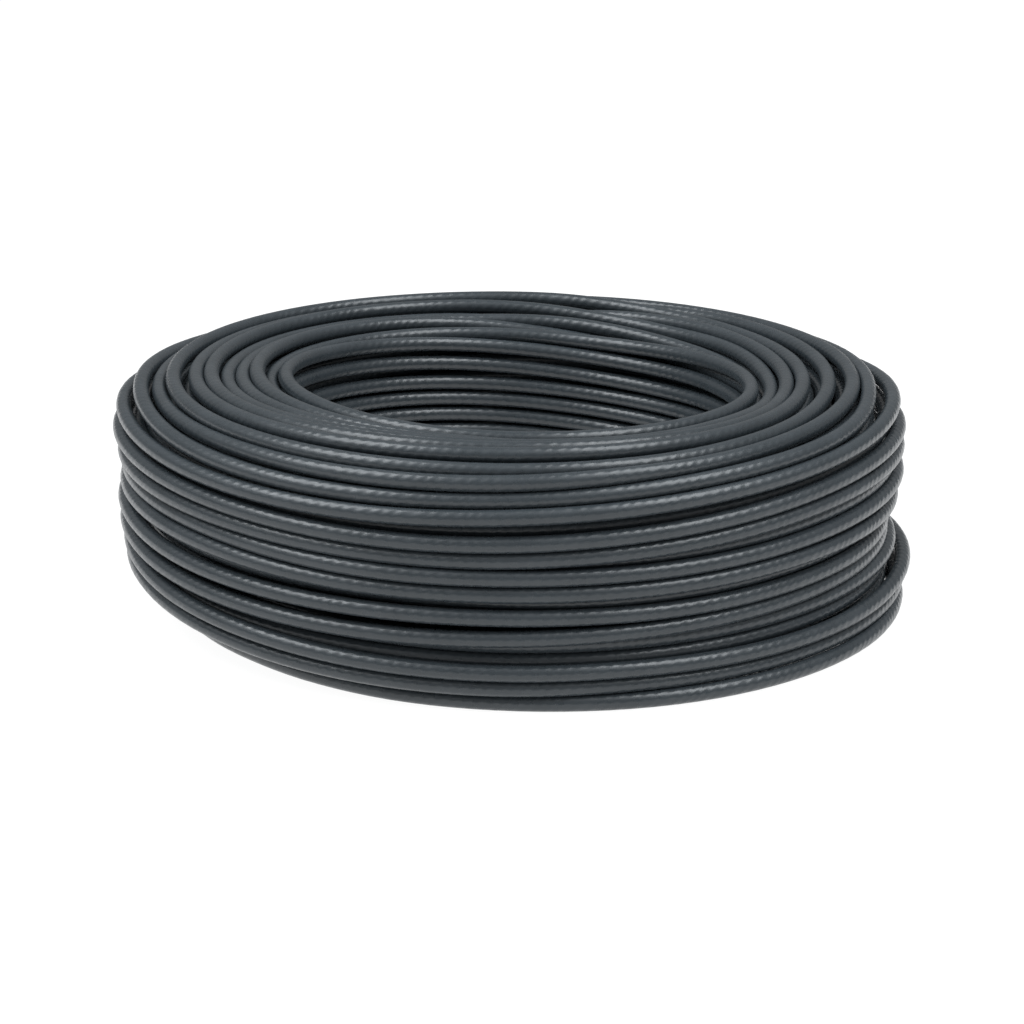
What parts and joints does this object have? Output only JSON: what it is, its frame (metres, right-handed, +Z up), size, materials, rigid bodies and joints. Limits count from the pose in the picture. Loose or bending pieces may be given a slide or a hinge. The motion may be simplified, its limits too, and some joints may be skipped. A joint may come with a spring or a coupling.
{
  "type": "network cable coil",
  "caption": "Loose round coil of slim round network cable lying flat, its turns stacked beside and above each other around an open centre.",
  "frame": {"origin": "on the floor, at the centre of the coil's base", "axes": "+Z up, along the axis that the cable is wound around; X and Y are alike"},
  "size_m": [0.314, 0.314, 0.0899],
  "materials": {
    "jacket": "satin dark slate grey cable jacket with a fine grain"
  },
  "bodies": {
    "root": {"cable_coil": "jacket"}
  },
  "joints": []
}
